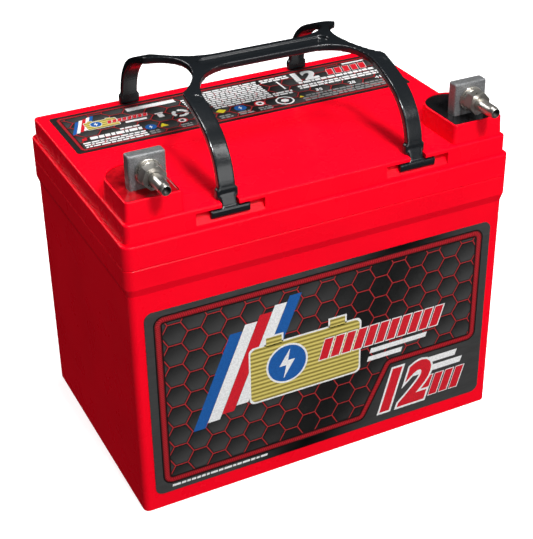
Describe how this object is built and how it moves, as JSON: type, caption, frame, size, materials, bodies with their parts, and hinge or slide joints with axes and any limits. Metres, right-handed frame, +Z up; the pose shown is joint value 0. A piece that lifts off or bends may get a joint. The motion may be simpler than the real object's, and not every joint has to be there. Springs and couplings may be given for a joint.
{
  "type": "deep cycle battery",
  "caption": "Upright rectangular 12 V glass-mat battery with front flag terminals, clip-on arched carrying handle and two printed labels.",
  "frame": {"origin": "middle of the underside of the container", "axes": "+X along the length towards the negative post, +Z up, -Y out of the labelled front"},
  "size_m": [0.195, 0.1344, 0.193],
  "materials": {
    "container_plastic": "satin gloss red ABS",
    "lid_plastic": "satin gloss red ABS",
    "handle_plastic": "glossy black polypropylene",
    "cast_lead": "matt cast lead alloy with bright rubbed edges",
    "red_epoxy": "poured glossy resin",
    "black_epoxy": "poured glossy resin",
    "stainless_steel": "polished stainless steel",
    "label_film": "printed film",
    "positive_plate": "dark brown paste on a lead grid",
    "negative_plate": "grey paste on a lead grid",
    "glass_mat": "soft white glass mat",
    "black_rubber": "matt rubber"
  },
  "bodies": {
    "battery": {"cell_weld_1": "cast_lead", "cell_weld_2": "cast_lead", "cell_weld_3": "cast_lead", "cell_weld_4": "cast_lead", "cell_weld_5": "cast_lead", "container": "container_plastic", "front_label": "label_film", "lid": "lid_plastic", "negative_bolt": "stainless_steel", "negative_epoxy": "black_epoxy", "negative_group_1": "negative_plate", "negative_group_2": "negative_plate", "negative_group_3": "negative_plate", "negative_group_4": "negative_plate", "negative_group_5": "negative_plate", "negative_group_6": "negative_plate", "negative_post_seal": "black_rubber", "negative_terminal": "cast_lead", "positive_bolt": "stainless_steel", "positive_epoxy": "red_epoxy", "positive_group_1": "positive_plate", "positive_group_2": "positive_plate", "positive_group_3": "positive_plate", "positive_group_4": "positive_plate", "positive_group_5": "positive_plate", "positive_group_6": "positive_plate", "positive_post_seal": "black_rubber", "positive_terminal": "cast_lead", "separators_1": "glass_mat", "separators_2": "glass_mat", "separators_3": "glass_mat", "separators_4": "glass_mat", "separators_5": "glass_mat", "separators_6": "glass_mat", "top_label": "label_film", "valve_cover": "lid_plastic", "vent_valve_1": "black_rubber", "vent_valve_2": "black_rubber", "vent_valve_3": "black_rubber", "vent_valve_4": "black_rubber", "vent_valve_5": "black_rubber", "vent_valve_6": "black_rubber"},
    "handle": {"handle": "handle_plastic"},
    "positive_washers": {"positive_flat_washer": "stainless_steel", "positive_lock_washer": "stainless_steel"},
    "positive_nut": {"positive_nut": "stainless_steel"},
    "negative_washers": {"negative_flat_washer": "stainless_steel", "negative_lock_washer": "stainless_steel"},
    "negative_nut": {"negative_nut": "stainless_steel"}
  },
  "joints": [
    {"name": "handle_lift", "type": "slide", "parent": "battery", "child": "handle", "axis": [0, 0, 1], "range_m": [0, 0.0005]},
    {"name": "positive_washer_slide", "type": "slide", "parent": "battery", "child": "positive_washers", "axis": [0, -1, 0], "range_m": [0, 0.012]},
    {"name": "positive_nut_turn", "type": "hinge", "parent": "positive_washers", "child": "positive_nut", "pos_m": [-0.0791, -0.0528, 0.1706], "axis": [0, -1, 0], "range_deg": [0, 4320]},
    {"name": "negative_washer_slide", "type": "slide", "parent": "battery", "child": "negative_washers", "axis": [0, -1, 0], "range_m": [0, 0.012]},
    {"name": "negative_nut_turn", "type": "hinge", "parent": "negative_washers", "child": "negative_nut", "pos_m": [0.0823, -0.0528, 0.1706], "axis": [0, -1, 0], "range_deg": [0, 4320]}
  ],
  "couplings": [
    {"joint": "positive_nut_turn", "follows": "positive_washer_slide", "rad_per_m": 6283.2},
    {"joint": "negative_nut_turn", "follows": "negative_washer_slide", "rad_per_m": 6283.2}
  ]
}
